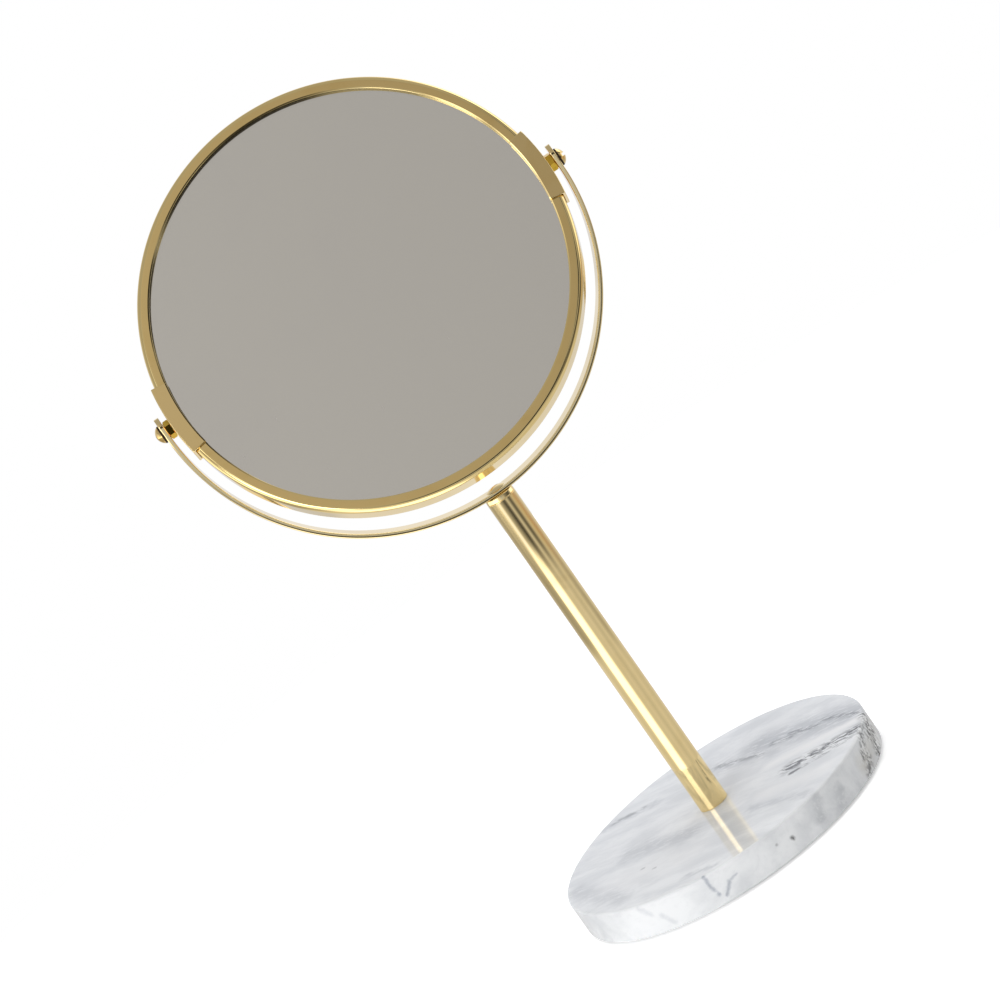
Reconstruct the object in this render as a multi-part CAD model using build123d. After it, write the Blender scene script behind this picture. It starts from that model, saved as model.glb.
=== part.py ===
from build123d import *
import math
import os

# Marble base and the pad under it
base_diameter = 145.0
base_thickness = 15.0
base_edge_round = 1.0
pad_inset = 5.0
pad_thickness = 1.0

# Bolt that holds the stem to the base, sunk in a counterbore
bolt_diameter = 6.0
bolt_head_flats = 10.0
bolt_head_height = 4.0
bolt_head_recess = 1.3
bolt_engagement = 12.0
bolt_hole_clearance = 0.5
base_washer_diameter = 18.0
base_washer_thickness = 1.6
counterbore_clearance = 2.0
spring_washer_diameter = 11.0
spring_washer_thickness = 1.6
spring_washer_slit = 1.2

# Stem, with an insert at its foot and a plug at its top
stem_diameter = 13.0
stem_wall = 1.0
stem_length = 158.2
stem_edge_round = 0.3
insert_end_wall = 4.0
plug_flange_height = 2.0
plug_shank_length = 12.0
plug_edge_round = 0.6

# Mirror head: a channel ring in two halves round a flat and a hollow glass
head_tilt = 30.0
frame_outer_radius = 90.3
frame_sheet = 1.0
frame_lip_width = 5.3
frame_edge_round = 2.2
frame_seam_clearance = 1.0
lip_bevel_width = 0.6
lip_bevel_depth = 0.2
glass_thickness = 1.8
glass_rim_clearance = 0.3
glass_centre_gap = 3.1
magnifier_radius = 1200.0
spacer_width = 10.0
spacer_clearance = 0.1

# Saddle clips over the two seams of the ring
clip_sheet = 1.2
clip_clearance = 0.1
clip_lip_overlap = 0.2
clip_half_angle = 10.0
clip_edge_round = 0.5

# Pivot screws, with a lock nut inside the yoke and a washer outside it
pivot_screw_diameter = 4.0
pivot_head_diameter = 7.6
pivot_head_height = 2.3
pivot_slot_width = 1.2
pivot_slot_depth = 1.2
pivot_slot_angles = {"left": -18.0, "right": 108.5}
pivot_nut_flats = 7.0
pivot_nut_thickness = 2.6
pivot_nut_angles = {"left": -20.0, "right": 0.0}
pivot_washer_diameter = 7.8
pivot_washer_thickness = 0.8
pivot_running_clearance = 0.07
pivot_side_clearance = 0.05
pivot_end_clearance = 0.5

# Yoke, a flat strip bent to a half circle with straight, round ends
yoke_strip_thickness = 2.0
yoke_strip_width = 8.0
yoke_edge_round = 0.5
yoke_straight_rise = 2.65
yoke_tip_rise = 6.7

# Screw that holds the yoke to the stem
yoke_screw_diameter = 4.0
yoke_screw_hole_clearance = 0.15
yoke_screw_head_diameter = 8.8
yoke_screw_head_height = 1.0
yoke_screw_slot_width = 1.1
yoke_screw_slot_depth = 0.5
yoke_screw_slot_angle = 40.0
yoke_screw_engagement = 8.0

# Allowances shared by all pieces
fit_clearance = 0.05
cut_overrun = 1.0

# Radii and depths of the head, measured from the middle of the ring
glass_radius = frame_outer_radius - frame_sheet - glass_rim_clearance
magnifier_sag = magnifier_radius - math.sqrt(magnifier_radius ** 2 - glass_radius ** 2)
channel_depth = 2 * glass_thickness + glass_centre_gap + magnifier_sag
frame_half_depth = channel_depth / 2 + frame_sheet
frame_lip_radius = frame_outer_radius - frame_lip_width
front_glass_back = glass_thickness - channel_depth / 2
magnifier_centre = channel_depth / 2 - magnifier_sag + magnifier_radius
clip_inner_radius = frame_outer_radius + clip_clearance
clip_outer_radius = clip_inner_radius + clip_sheet
clip_half_depth = frame_half_depth + clip_clearance + clip_sheet

# Stations along the pivot axis, measured from the middle of the ring
yoke_inner_radius = clip_outer_radius + pivot_nut_thickness + pivot_side_clearance
yoke_outer_radius = yoke_inner_radius + yoke_strip_thickness
washer_station = yoke_outer_radius + pivot_side_clearance
screw_station = washer_station + pivot_washer_thickness
screw_end_station = glass_radius + pivot_end_clearance

# Heights above the surface that the mirror stands on
base_top = pad_thickness + base_thickness
counterbore_depth = bolt_head_recess + bolt_head_height + spring_washer_thickness + base_washer_thickness
counterbore_floor = pad_thickness + counterbore_depth
spring_washer_top = counterbore_floor - base_washer_thickness
bolt_seat = spring_washer_top - spring_washer_thickness
stem_top = base_top + stem_length
yoke_foot = stem_top + plug_flange_height
yoke_centre = yoke_foot + yoke_outer_radius
pivot_height = yoke_centre + yoke_straight_rise
yoke_tip = pivot_height + yoke_tip_rise

# The head hangs on the pivot axis and leans back
head_place = Pos(0, 0, pivot_height) * Rot(-head_tilt, 0, 0)


def bar(radius, length):
    """A round bar that stands on z = 0."""
    return extrude(Circle(radius), length)


def ring(outer_radius, inner_radius, thickness):
    """A flat ring that stands on z = 0."""
    return extrude(Circle(outer_radius) - Circle(inner_radius), thickness)


def hexagon(flats, height):
    """A hexagon bar that stands on z = 0, given across its flats."""
    return extrude(RegularPolygon(flats / 2, 6, major_radius=False), height)


def domed_head(diameter, height, slot_width, slot_depth, slot_angle):
    """A slotted screw head, domed to a part of a sphere, that stands on z = 0."""
    radius = diameter / 2
    sphere = (radius ** 2 + height ** 2) / (2 * height)
    half_angle = math.atan2(height, radius)
    middle = (sphere * math.sin(half_angle), height - sphere + sphere * math.cos(half_angle))
    dome_edge = ThreePointArc((0, height), middle, (radius, 0))
    flat_edges = Polyline((radius, 0), (0, 0), (0, height))
    dome = revolve(Plane.XZ * make_face([dome_edge, flat_edges]), Axis.Z)
    slot = extrude(Rectangle(diameter, slot_width, rotation=slot_angle), slot_depth + cut_overrun)
    return dome - Pos(0, 0, height - slot_depth) * slot


def channel(outer_radius, lip_radius, half_depth, sheet, edge_round):
    """The section of a sheet channel round the Y axis, open towards that axis, with bevelled lips."""
    width = outer_radius - lip_radius
    bevel_end = lip_radius + lip_bevel_width
    lip_edge = half_depth - lip_bevel_depth
    front = [(lip_radius, lip_edge), (bevel_end, half_depth), (outer_radius, half_depth)]
    rear = [(radius, -depth) for radius, depth in reversed(front)]
    outside = make_face(Polyline(*front, *rear, close=True))
    outside = fillet(outside.vertices().group_by(Axis.X)[-1], edge_round)
    inside = Pos(outer_radius - sheet - width / 2, 0) * Rectangle(width, 2 * (half_depth - sheet))
    return outside - inside


def on_pivot_axis(shape, side, station):
    """Turn a piece from the z axis to the pivot axis, pointing out to its side."""
    sign = 1 if side == "right" else -1
    return head_place * Pos(sign * station, 0, 0) * Rot(0, sign * 90, 0) * shape


def make_base_disc():
    disc = Pos(0, 0, pad_thickness) * bar(base_diameter / 2, base_thickness)
    disc = fillet(disc.edges().filter_by(GeomType.CIRCLE), base_edge_round)
    bolt_hole = bar(bolt_diameter / 2 + bolt_hole_clearance, base_top + cut_overrun)
    counterbore = bar(base_washer_diameter / 2 + counterbore_clearance, counterbore_floor)
    return disc - bolt_hole - counterbore


def make_base_pad():
    return bar(base_diameter / 2 - pad_inset, pad_thickness)


def make_base_bolt():
    length = base_top + bolt_engagement - bolt_seat
    head = Pos(0, 0, bolt_seat - bolt_head_height) * hexagon(bolt_head_flats, bolt_head_height)
    return head + Pos(0, 0, bolt_seat) * bar(bolt_diameter / 2, length)


def make_base_washer():
    plate = ring(base_washer_diameter / 2, bolt_diameter / 2 + bolt_hole_clearance, base_washer_thickness)
    return Pos(0, 0, spring_washer_top) * plate


def make_base_spring_washer():
    coil = ring(spring_washer_diameter / 2, bolt_diameter / 2 + fit_clearance, spring_washer_thickness)
    slit = Rectangle(spring_washer_diameter, spring_washer_slit, align=(Align.MIN, Align.CENTER))
    return Pos(0, 0, bolt_seat) * (coil - extrude(slit, spring_washer_thickness))


def make_stem_tube():
    tube = Pos(0, 0, base_top) * ring(stem_diameter / 2, stem_diameter / 2 - stem_wall, stem_length)
    middle_radius = stem_diameter / 2 - stem_wall / 2
    rims = tube.edges().filter_by(GeomType.CIRCLE).filter_by(lambda rim: rim.radius > middle_radius)
    return fillet(rims, stem_edge_round)


def make_stem_foot_insert():
    outer_radius = stem_diameter / 2 - stem_wall - fit_clearance
    length = bolt_engagement + insert_end_wall
    return Pos(0, 0, base_top) * ring(outer_radius, bolt_diameter / 2 + fit_clearance, length)


def make_stem_top_plug():
    flange = Pos(0, 0, stem_top) * bar(stem_diameter / 2, plug_flange_height)
    flange = fillet(flange.edges().filter_by(GeomType.CIRCLE), plug_edge_round)
    shank_radius = stem_diameter / 2 - stem_wall - fit_clearance
    shank = Pos(0, 0, stem_top - plug_shank_length) * bar(shank_radius, plug_shank_length)
    thread = bar(yoke_screw_diameter / 2 + fit_clearance, yoke_foot + cut_overrun)
    return flange + shank - thread


def make_yoke_strip():
    middle = yoke_outer_radius - yoke_strip_thickness / 2
    left_arm = Line((-middle, 0, yoke_tip), (-middle, 0, yoke_centre))
    bend = ThreePointArc((-middle, 0, yoke_centre), (0, 0, yoke_centre - middle), (middle, 0, yoke_centre))
    right_arm = Line((middle, 0, yoke_centre), (middle, 0, yoke_tip))
    section = RectangleRounded(yoke_strip_thickness, yoke_strip_width, yoke_edge_round)
    start = Plane(left_arm @ 0, z_dir=left_arm % 0, x_dir=(1, 0, 0))
    strip = sweep(start * section, left_arm + bend + right_arm)
    end_radius = yoke_strip_width / 2
    span = 2 * yoke_outer_radius
    end_round = extrude(Plane.YZ * Circle(end_radius), span, both=True)
    end_half = Rectangle(2 * yoke_strip_width, end_radius, align=(Align.CENTER, Align.MIN))
    end_block = extrude(Plane.YZ * end_half, span, both=True)
    strip -= Pos(0, 0, yoke_tip - end_radius) * (end_block - end_round)
    pivot_circle = Circle(pivot_screw_diameter / 2 + pivot_running_clearance)
    pivot_hole = extrude(Plane.YZ * pivot_circle, span, both=True)
    strip -= Pos(0, 0, pivot_height) * pivot_hole
    return strip - bar(yoke_screw_diameter / 2 + yoke_screw_hole_clearance, yoke_centre)


def make_yoke_screw():
    head_radius = yoke_screw_head_diameter / 2
    seat = yoke_centre - math.sqrt(yoke_inner_radius ** 2 - head_radius ** 2)
    length = seat - stem_top + yoke_screw_engagement
    head = domed_head(yoke_screw_head_diameter, yoke_screw_head_height, yoke_screw_slot_width,
                      yoke_screw_slot_depth, yoke_screw_slot_angle)
    return Pos(0, 0, seat) * head + Pos(0, 0, seat - length) * bar(yoke_screw_diameter / 2, length)


def make_frame_halves():
    section = channel(frame_outer_radius, frame_lip_radius, frame_half_depth, frame_sheet, frame_edge_round)
    hoop = revolve(section, Axis.Y)
    seam = pivot_screw_diameter / 2 + frame_seam_clearance
    upper = split(hoop, Plane.XY.offset(seam), Keep.TOP)
    lower = split(hoop, Plane.XY.offset(-seam), Keep.BOTTOM)
    return head_place * upper, head_place * lower


def make_front_glass():
    disc = extrude(Plane.XZ * Circle(glass_radius), glass_thickness)
    return head_place * Pos(0, front_glass_back, 0) * disc


def magnifier_depth(sphere, radius):
    """Depth of a hollow surface of the back glass at a radius from the middle."""
    return magnifier_centre - math.sqrt(sphere ** 2 - radius ** 2)


def magnifier_arc(sphere):
    """The section of that surface, from the middle of the glass to its rim."""
    points = [(radius, magnifier_depth(sphere, radius)) for radius in (0, glass_radius / 2, glass_radius)]
    return ThreePointArc(*points)


def make_back_glass():
    rear = magnifier_arc(magnifier_radius)
    inner = magnifier_arc(magnifier_radius + glass_thickness)
    section = make_face([rear, inner, Line(rear @ 0, inner @ 0), Line(rear @ 1, inner @ 1)])
    return head_place * revolve(section, Axis.Y)


def make_mirror_spacer():
    inner_radius = glass_radius - spacer_width
    sphere = magnifier_radius + glass_thickness
    inner_top = magnifier_depth(sphere, inner_radius) - spacer_clearance
    outer_top = magnifier_depth(sphere, glass_radius) - spacer_clearance
    section = Polyline((inner_radius, front_glass_back), (glass_radius, front_glass_back),
                       (glass_radius, outer_top), (inner_radius, inner_top), close=True)
    return head_place * revolve(make_face(section), Axis.Y)


def make_pivot_clip(side):
    lip_radius = frame_lip_radius - clip_lip_overlap
    section = channel(clip_outer_radius, lip_radius, clip_half_depth, clip_sheet, clip_edge_round)
    saddle = Rot(0, -clip_half_angle, 0) * revolve(section, Axis.Y, 2 * clip_half_angle)
    thread_circle = Circle(pivot_screw_diameter / 2 + fit_clearance)
    thread = extrude(Plane.YZ * thread_circle, clip_outer_radius + cut_overrun)
    turn = 0 if side == "right" else 180
    return head_place * Rot(0, turn, 0) * (saddle - thread)


def make_pivot_nut(side):
    thread = bar(pivot_screw_diameter / 2 + fit_clearance, pivot_nut_thickness)
    nut = hexagon(pivot_nut_flats, pivot_nut_thickness) - thread
    return on_pivot_axis(Rot(0, 0, pivot_nut_angles[side]) * nut, side, clip_outer_radius)


def make_pivot_washer(side):
    plate = ring(pivot_washer_diameter / 2, pivot_screw_diameter / 2 + fit_clearance, pivot_washer_thickness)
    return on_pivot_axis(plate, side, washer_station)


def make_pivot_screw(side):
    head = domed_head(pivot_head_diameter, pivot_head_height, pivot_slot_width,
                      pivot_slot_depth, pivot_slot_angles[side])
    length = screw_station - screw_end_station
    screw = head + Pos(0, 0, -length) * bar(pivot_screw_diameter / 2, length)
    return on_pivot_axis(screw, side, screw_station)


frame_upper, frame_lower = make_frame_halves()
pieces = {
    "base_disc": make_base_disc(),
    "base_pad": make_base_pad(),
    "base_bolt": make_base_bolt(),
    "base_washer": make_base_washer(),
    "base_spring_washer": make_base_spring_washer(),
    "stem_tube": make_stem_tube(),
    "stem_foot_insert": make_stem_foot_insert(),
    "stem_top_plug": make_stem_top_plug(),
    "yoke_strip": make_yoke_strip(),
    "yoke_screw": make_yoke_screw(),
    "frame_upper": frame_upper,
    "frame_lower": frame_lower,
    "front_glass": make_front_glass(),
    "back_glass": make_back_glass(),
    "mirror_spacer": make_mirror_spacer(),
}
for side in ("left", "right"):
    pieces["pivot_clip_" + side] = make_pivot_clip(side)
    pieces["pivot_nut_" + side] = make_pivot_nut(side)
    pieces["pivot_washer_" + side] = make_pivot_washer(side)
    pieces["pivot_screw_" + side] = make_pivot_screw(side)

os.makedirs("parts", exist_ok=True)
for name, shape in pieces.items():
    export_step(shape, "parts/" + name + ".step")
print("pivot height", round(pivot_height, 3), "yoke inner radius", round(yoke_inner_radius, 3))
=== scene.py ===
import bpy
import bmesh
import math
from mathutils import Matrix, Vector


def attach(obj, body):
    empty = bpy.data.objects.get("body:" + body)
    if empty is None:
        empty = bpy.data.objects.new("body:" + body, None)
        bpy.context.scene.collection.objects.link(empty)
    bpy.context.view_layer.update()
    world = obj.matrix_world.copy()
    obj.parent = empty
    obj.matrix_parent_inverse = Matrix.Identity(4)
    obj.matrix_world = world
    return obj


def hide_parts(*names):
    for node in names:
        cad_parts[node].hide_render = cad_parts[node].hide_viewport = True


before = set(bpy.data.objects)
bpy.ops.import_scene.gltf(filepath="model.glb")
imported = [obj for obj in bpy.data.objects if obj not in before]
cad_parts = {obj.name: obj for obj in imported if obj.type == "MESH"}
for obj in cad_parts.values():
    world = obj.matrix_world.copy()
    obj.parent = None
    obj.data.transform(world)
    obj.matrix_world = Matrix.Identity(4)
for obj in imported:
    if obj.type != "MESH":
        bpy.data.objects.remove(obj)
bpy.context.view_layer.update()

scene = bpy.context.scene
scene.view_settings.view_transform = "Standard"
mm = 0.001
print("frame loaded:", len(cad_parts), "nodes")


# camera, fitted to the ring, yoke, stem and base
cameraFit = {
    "distance": 2.2,
    "elevation": 14.25,
    "yaw": -0.6,
    "roll": -34.9,
    "target": (-0.00098, 0.0, 0.17321),
    "lens": 196.02,
    "sensor": 36,
    "farthest": 20,
}


def placeCamera(fit):
    elevation, yaw, roll = (math.radians(fit[key]) for key in ("elevation", "yaw", "roll"))
    level = Vector((math.cos(yaw), math.sin(yaw), 0))
    ahead = Vector((-math.sin(yaw) * math.cos(elevation), math.cos(yaw) * math.cos(elevation), -math.sin(elevation)))
    turn = Matrix((level, level.cross(ahead), -ahead)).transposed().to_4x4()
    data = bpy.data.cameras.new("photoCamera")
    data.lens = fit["lens"]
    data.sensor_width = fit["sensor"]
    data.clip_end = fit["farthest"]
    camera = bpy.data.objects.new("photoCamera", data)
    scene.collection.objects.link(camera)
    place = Matrix.Translation(Vector(fit["target"]) - ahead * fit["distance"])
    camera.matrix_world = place @ turn @ Matrix.Rotation(roll, 4, "Z")
    scene.camera = camera


placeCamera(cameraFit)
print("camera placed")


# node helpers: settings are attributes, inputs are values or sockets to link
def feedNode(tree, node, inputs):
    for key, value in inputs.items():
        if isinstance(value, bpy.types.NodeSocket):
            tree.links.new(value, node.inputs[key])
        else:
            node.inputs[key].default_value = value


def addNode(tree, kind, settings=None, inputs=None):
    node = tree.nodes.new("ShaderNode" + kind)
    for key, value in (settings or {}).items():
        setattr(node, key, value)
    feedNode(tree, node, inputs or {})
    return node


def calc(tree, operation, *values, clamp=False):
    node = addNode(tree, "Math", {"operation": operation, "use_clamp": clamp}, dict(enumerate(values)))
    return node.outputs[0]


def blendColour(tree, factor, first, second, how="MIX"):
    node = addNode(tree, "Mix", {"data_type": "RGBA", "blend_type": how}, {0: factor, 6: first, 7: second})
    return node.outputs[2]


def fadeRange(tree, value, low, high, toLow=0.0, toHigh=1.0):
    inputs = {"Value": value, "From Min": low, "From Max": high, "To Min": toLow, "To Max": toHigh}
    return addNode(tree, "MapRange", {"interpolation_type": "SMOOTHSTEP"}, inputs).outputs[0]


def toneRamp(tree, value, stops, how="LINEAR"):
    node = addNode(tree, "ValToRGB", inputs={0: value})
    ramp = node.color_ramp
    ramp.interpolation = how
    ramp.elements.remove(ramp.elements[1])
    for number, (place, tone) in enumerate(stops):
        element = ramp.elements[0] if number == 0 else ramp.elements.new(place)
        element.position = place
        element.color = (*tone, 1) if isinstance(tone, tuple) else (tone, tone, tone, 1)
    return node.outputs[0]


def bearing(tree, vector):
    # 0 behind the object, 0.5 towards the camera, 0.25 to its left
    axes = addNode(tree, "SeparateXYZ", inputs={0: vector})
    angle = calc(tree, "ARCTAN2", axes.outputs[0], calc(tree, "MULTIPLY", axes.outputs[1], -1.0))
    turn = calc(tree, "MULTIPLY_ADD", angle, 0.5 / math.pi, 0.5)
    return turn, axes.outputs[2], axes.outputs[0]


# room: light levels by bearing in degrees, 0 towards the camera, less than 0 to its left;
# each band starts at a height given as a sine
whiteBehind = (0.86, 0.9, 1.02)
room = {
    "brightest": 4.0,
    "far": [(-180, whiteBehind), (-135, 0.5), (-110, 0.38), (-92, 0.52), (-77, 0.47), (-66, 0.6), (-57, 0.85),
            (-50, (1.1, 1.15, 1.4)), (-40, (1.1, 1.15, 1.4)), (-34, 0.75), (-27, 0.44), (-14, 0.25), (-6, 0.12), (0, 0.06),
            (6, 0.09), (14, 0.3), (20, 0.57), (27, 0.52), (36, 0.25), (44, 0.12), (52, 0.2), (66, (0.57, 0.53, 0.46)),
            (78, (0.56, 0.49, 0.38)), (92, (0.48, 0.36, 0.26)), (108, (0.53, 0.43, 0.38)), (130, 0.65), (180, whiteBehind)],
    "bands": [
        {"low": -0.247, "high": -0.21, "around": [
            (-180, whiteBehind), (-134, 0.4), (-122, 1.5), (-96, 1.6), (-70, 2.2), (-36, 2.2), (-26, 1.0), (-10, 0.7),
            (0, (0.55, 0.6, 0.72)), (15, 0.55), (30, 0.25), (50, 0.1), (64, 0.1), (78, 0.5), (86, 1.4), (110, 1.4),
            (130, 0.7), (180, whiteBehind)]},
        {"low": -0.09, "high": -0.04, "around": [
            (-180, whiteBehind), (-125, 0.7), (-108, 1.2), (-82, 1.0), (-66, 0.7), (-32, 0.7), (-25, 0.5), (-10, 0.4), (-3, 0.14),
            (4, 0.07), (62, 0.07), (74, 0.3), (86, 1.2), (110, 1.2), (125, 0.9), (180, whiteBehind)]},
        {"low": 0.09, "high": 0.14, "around": [
            (-180, whiteBehind), (-125, 0.6), (-108, 0.8), (-84, 0.8), (-72, 0.45), (-64, 0.5), (-60, 4.0), (-27, 4.0),
            (-23, 0.5), (-16, 0.4), (-11, 0.06), (-6, 0.03), (23, 0.03), (30, 0.4), (78, 0.4), (88, 1.0), (116, 1.0),
            (180, whiteBehind)]},
        {"low": 0.3, "high": 0.35, "around": [
            (-180, 0.8), (-130, 0.5), (-96, 0.4), (-46, 0.42), (-42, 1.8), (-32, 1.8), (-28, 0.42), (24, 0.4), (27, 0.03),
            (42, 0.03), (46, 0.4), (84, 0.4), (94, 0.12), (102, 0.12), (112, 2.2), (145, 2.2), (160, 0.8), (180, 0.8)]},
        {"low": 0.5, "high": 0.56, "around": [
            (-180, 0.5), (-54, 0.42), (-50, 2.2), (-42, 2.2), (-38, 0.42), (38, 0.4), (42, 0.03), (51, 0.03), (55, 0.4), (86, 0.4),
            (94, 0.12), (100, 0.12), (110, 1.4), (124, 1.2), (138, 0.5), (180, 0.5)]},
        {"low": 0.66, "high": 0.7, "around": [
            (-180, 0.42), (-60, 0.42), (-56, 1.0), (-48, 1.0), (-44, 0.42), (44, 0.4), (48, 0.04), (57, 0.04), (61, 0.4), (86, 0.4),
            (94, 0.14), (100, 0.14), (110, 0.7), (122, 0.42), (180, 0.42)]},
    ],
    "overhead": (0.42, 0.42, 0.42),
    "overheadFade": (0.72, 0.87),
    "ceiling": (0.435, 0.407, 0.374),
    "ceilingAim": (0.0, -0.664, 0.748),
    "ceilingSlope": -1.1,
    "ceilingFade": (0.93, 0.975),
    "floorRadius": 0.62,
    "floorSteps": 128,
    "floorColour": (0.92, 0.92, 0.92, 1),
    "floorLift": 0.4,
    # painted reflection: glow levels for the floor that only glossy and transmission rays see, standing in for a lit
    # floor with a bright window stripe, near the object, in the middle and farther out
    "floorFades": {"floorMiddle": (0.31, 0.38), "far": (0.48, 0.6)},
    "floorNear": [(-180, (0.82, 0.86, 1.0)), (-130, 0.75), (-95, 0.67), (-80, 0.7), (-70, 0.85), (-66, 1.5), (-60, 2.1), (-24, 2.1),
                  (-18, 1.6), (-11, 0.85), (-4, 0.68), (4, 0.65), (16, 0.69), (28, 0.65), (42, 0.58), (54, 0.63), (68, 0.69),
                  (85, 0.64), (100, 0.61), (125, 0.66), (180, (0.82, 0.86, 1.0))],
    "floorMiddle": [(-180, (0.82, 0.86, 1.0)), (-125, 0.45), (-108, 0.36), (-95, 0.4), (-80, 0.42), (-70, 0.5), (-64, 0.9), (-60, 1.6),
                    (-55, 2.1), (-23, 2.1), (-17, 1.5), (-10, 0.85), (-3, 0.66), (10, 0.66), (22, 0.69), (34, 0.61), (44, 0.56),
                    (54, 0.6), (66, 0.65), (78, 0.54), (88, 0.45), (98, 0.43), (110, 0.5), (130, 0.65), (180, (0.82, 0.86, 1.0))],
}

# soft lamps for the stone and the floor, kept out of the metal
lamps = {
    "ceilingLamp": {"place": (0.0, 0.1, 1.6), "aim": (0, 0, 0.05), "size": 1.4, "power": 11.6},
    "frontLamp": {"place": (-0.75, -0.85, 0.35), "aim": (0, 0, 0.02), "size": 0.7, "power": 2.5},
}


def lightRamp(tree, turn, stops, brightest):
    scaled = []
    for angle, level in stops:
        colour = level if isinstance(level, tuple) else (level, level, level)
        scaled.append(((angle + 180) / 360, tuple(part / brightest for part in colour)))
    ramp = toneRamp(tree, turn, scaled)
    return addNode(tree, "VectorMath", {"operation": "SCALE"}, {0: ramp, "Scale": brightest}).outputs[0]


def buildRoom(setup):
    world = bpy.data.worlds.new("studioRoom")
    scene.world = world
    world.use_nodes = True
    tree = world.node_tree
    tree.nodes.clear()
    aim = addNode(tree, "TexCoord").outputs["Generated"]
    turn, height, rightward = bearing(tree, aim)
    shell = lightRamp(tree, turn, setup["far"], setup["brightest"])
    for band in setup["bands"]:
        above = fadeRange(tree, height, band["low"], band["high"])
        shell = blendColour(tree, above, shell, lightRamp(tree, turn, band["around"], setup["brightest"]))
    shell = blendColour(tree, fadeRange(tree, height, *setup["overheadFade"]), shell, (*setup["overhead"], 1))
    nearness = addNode(tree, "VectorMath", {"operation": "DOT_PRODUCT"}, {0: aim, 1: setup["ceilingAim"]})
    patch = fadeRange(tree, nearness.outputs["Value"], *setup["ceilingFade"])
    slope = calc(tree, "MULTIPLY_ADD", rightward, setup["ceilingSlope"], 1.0)
    ceiling = addNode(tree, "VectorMath", {"operation": "SCALE"}, {0: setup["ceiling"], "Scale": slope})
    shell = blendColour(tree, patch, shell, ceiling.outputs[0])
    roomLight = addNode(tree, "Background", inputs={"Color": shell, "Strength": 1.0})
    backdrop = addNode(tree, "Background", inputs={"Color": (1, 1, 1, 1), "Strength": 1.0})
    seen = addNode(tree, "LightPath").outputs["Is Camera Ray"]
    mixed = addNode(tree, "MixShader", inputs={0: seen, 1: roomLight.outputs[0], 2: backdrop.outputs[0]})
    addNode(tree, "OutputWorld", inputs={"Surface": mixed.outputs[0]})


def hangLamp(name, setup):
    data = bpy.data.lights.new(name, "AREA")
    data.shape = "DISK"
    data.size = setup["size"]
    data.energy = setup["power"]
    lamp = bpy.data.objects.new(name, data)
    scene.collection.objects.link(lamp)
    place = Vector(setup["place"])
    turn = (place - Vector(setup["aim"])).to_track_quat("Z", "Y")
    lamp.matrix_world = Matrix.Translation(place) @ turn.to_matrix().to_4x4()
    lamp.visible_glossy = False
    lamp.visible_transmission = False


def buildFloor(setup):
    bm = bmesh.new()
    bmesh.ops.create_circle(bm, cap_ends=True, segments=setup["floorSteps"], radius=setup["floorRadius"])
    mesh = bpy.data.meshes.new("studioFloor")
    bm.to_mesh(mesh)
    bm.free()
    floor = bpy.data.objects.new("studioFloor", mesh)
    scene.collection.objects.link(floor)
    material = bpy.data.materials.new("studioFloor")
    material.use_nodes = True
    tree = material.node_tree
    tree.nodes.clear()
    place = addNode(tree, "TexCoord").outputs["Object"]
    turn = bearing(tree, place)[0]
    away = addNode(tree, "VectorMath", {"operation": "LENGTH"}, {0: place}).outputs["Value"]
    # painted reflection: the floor's glow by bearing and distance, window stripe included, shown only to glossy and
    # transmission rays
    around = lightRamp(tree, turn, setup["floorNear"], setup["brightest"])
    for tones, fade in setup["floorFades"].items():
        beyond = lightRamp(tree, turn, setup[tones], setup["brightest"])
        around = blendColour(tree, fadeRange(tree, away, *fade), around, beyond)
    rays = addNode(tree, "LightPath")
    lit = addNode(tree, "BsdfDiffuse", inputs={"Color": setup["floorColour"]})
    lifted = calc(tree, "MULTIPLY", rays.outputs["Is Camera Ray"], setup["floorLift"])
    lift = addNode(tree, "Emission", inputs={"Color": (1, 1, 1, 1), "Strength": lifted})
    shown = addNode(tree, "AddShader", inputs={0: lit.outputs[0], 1: lift.outputs[0]})
    # painted floor glow seen in metal and glass in place of the lit floor; camera rays see the lit and lifted floor
    paintedFloorGlow = addNode(tree, "Emission", inputs={"Color": around, "Strength": 1.0})
    inMetal = calc(tree, "ADD", rays.outputs["Is Glossy Ray"], rays.outputs["Is Transmission Ray"], clamp=True)
    mixed = addNode(tree, "MixShader", inputs={0: inMetal, 1: shown.outputs[0], 2: paintedFloorGlow.outputs[0]})
    addNode(tree, "OutputMaterial", inputs={"Surface": mixed.outputs[0]})
    mesh.materials.append(material)


buildRoom(room)
buildFloor(room)
for name, setup in lamps.items():
    hangLamp(name, setup)
print("room and floor built")


# shared effects
def newGroup(name, sockets, outputs):
    tree = bpy.data.node_groups.new(name, "ShaderNodeTree")
    for label, kind, value in sockets:
        socket = tree.interface.new_socket(label, in_out="INPUT", socket_type="NodeSocket" + kind)
        if value is not None:
            socket.default_value = value
    for label, kind in outputs:
        tree.interface.new_socket(label, in_out="OUTPUT", socket_type="NodeSocket" + kind)
    return tree, tree.nodes.new("NodeGroupInput"), tree.nodes.new("NodeGroupOutput")


def buildFineGrain():
    # drawn or brushed lines: the vector is stretched before the noise
    tree, given, made = newGroup("fineGrain", [
        ("Vector", "Vector", None), ("Stretch", "Vector", (1, 1, 1)), ("Low", "Float", 0.1), ("High", "Float", 0.2),
    ], [("Roughness", "Float"), ("Height", "Float")])
    drawn = addNode(tree, "VectorMath", {"operation": "MULTIPLY"}, {0: given.outputs["Vector"], 1: given.outputs["Stretch"]})
    lines = addNode(tree, "TexNoise", inputs={"Vector": drawn.outputs[0], "Scale": 1.0, "Detail": 5.0, "Roughness": 0.62})
    spread = addNode(tree, "MapRange", inputs={"Value": lines.outputs[0], "From Min": 0.3, "From Max": 0.7,
                                               "To Min": given.outputs["Low"], "To Max": given.outputs["High"]})
    tree.links.new(spread.outputs[0], made.inputs["Roughness"])
    tree.links.new(lines.outputs[0], made.inputs["Height"])
    return tree


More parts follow.
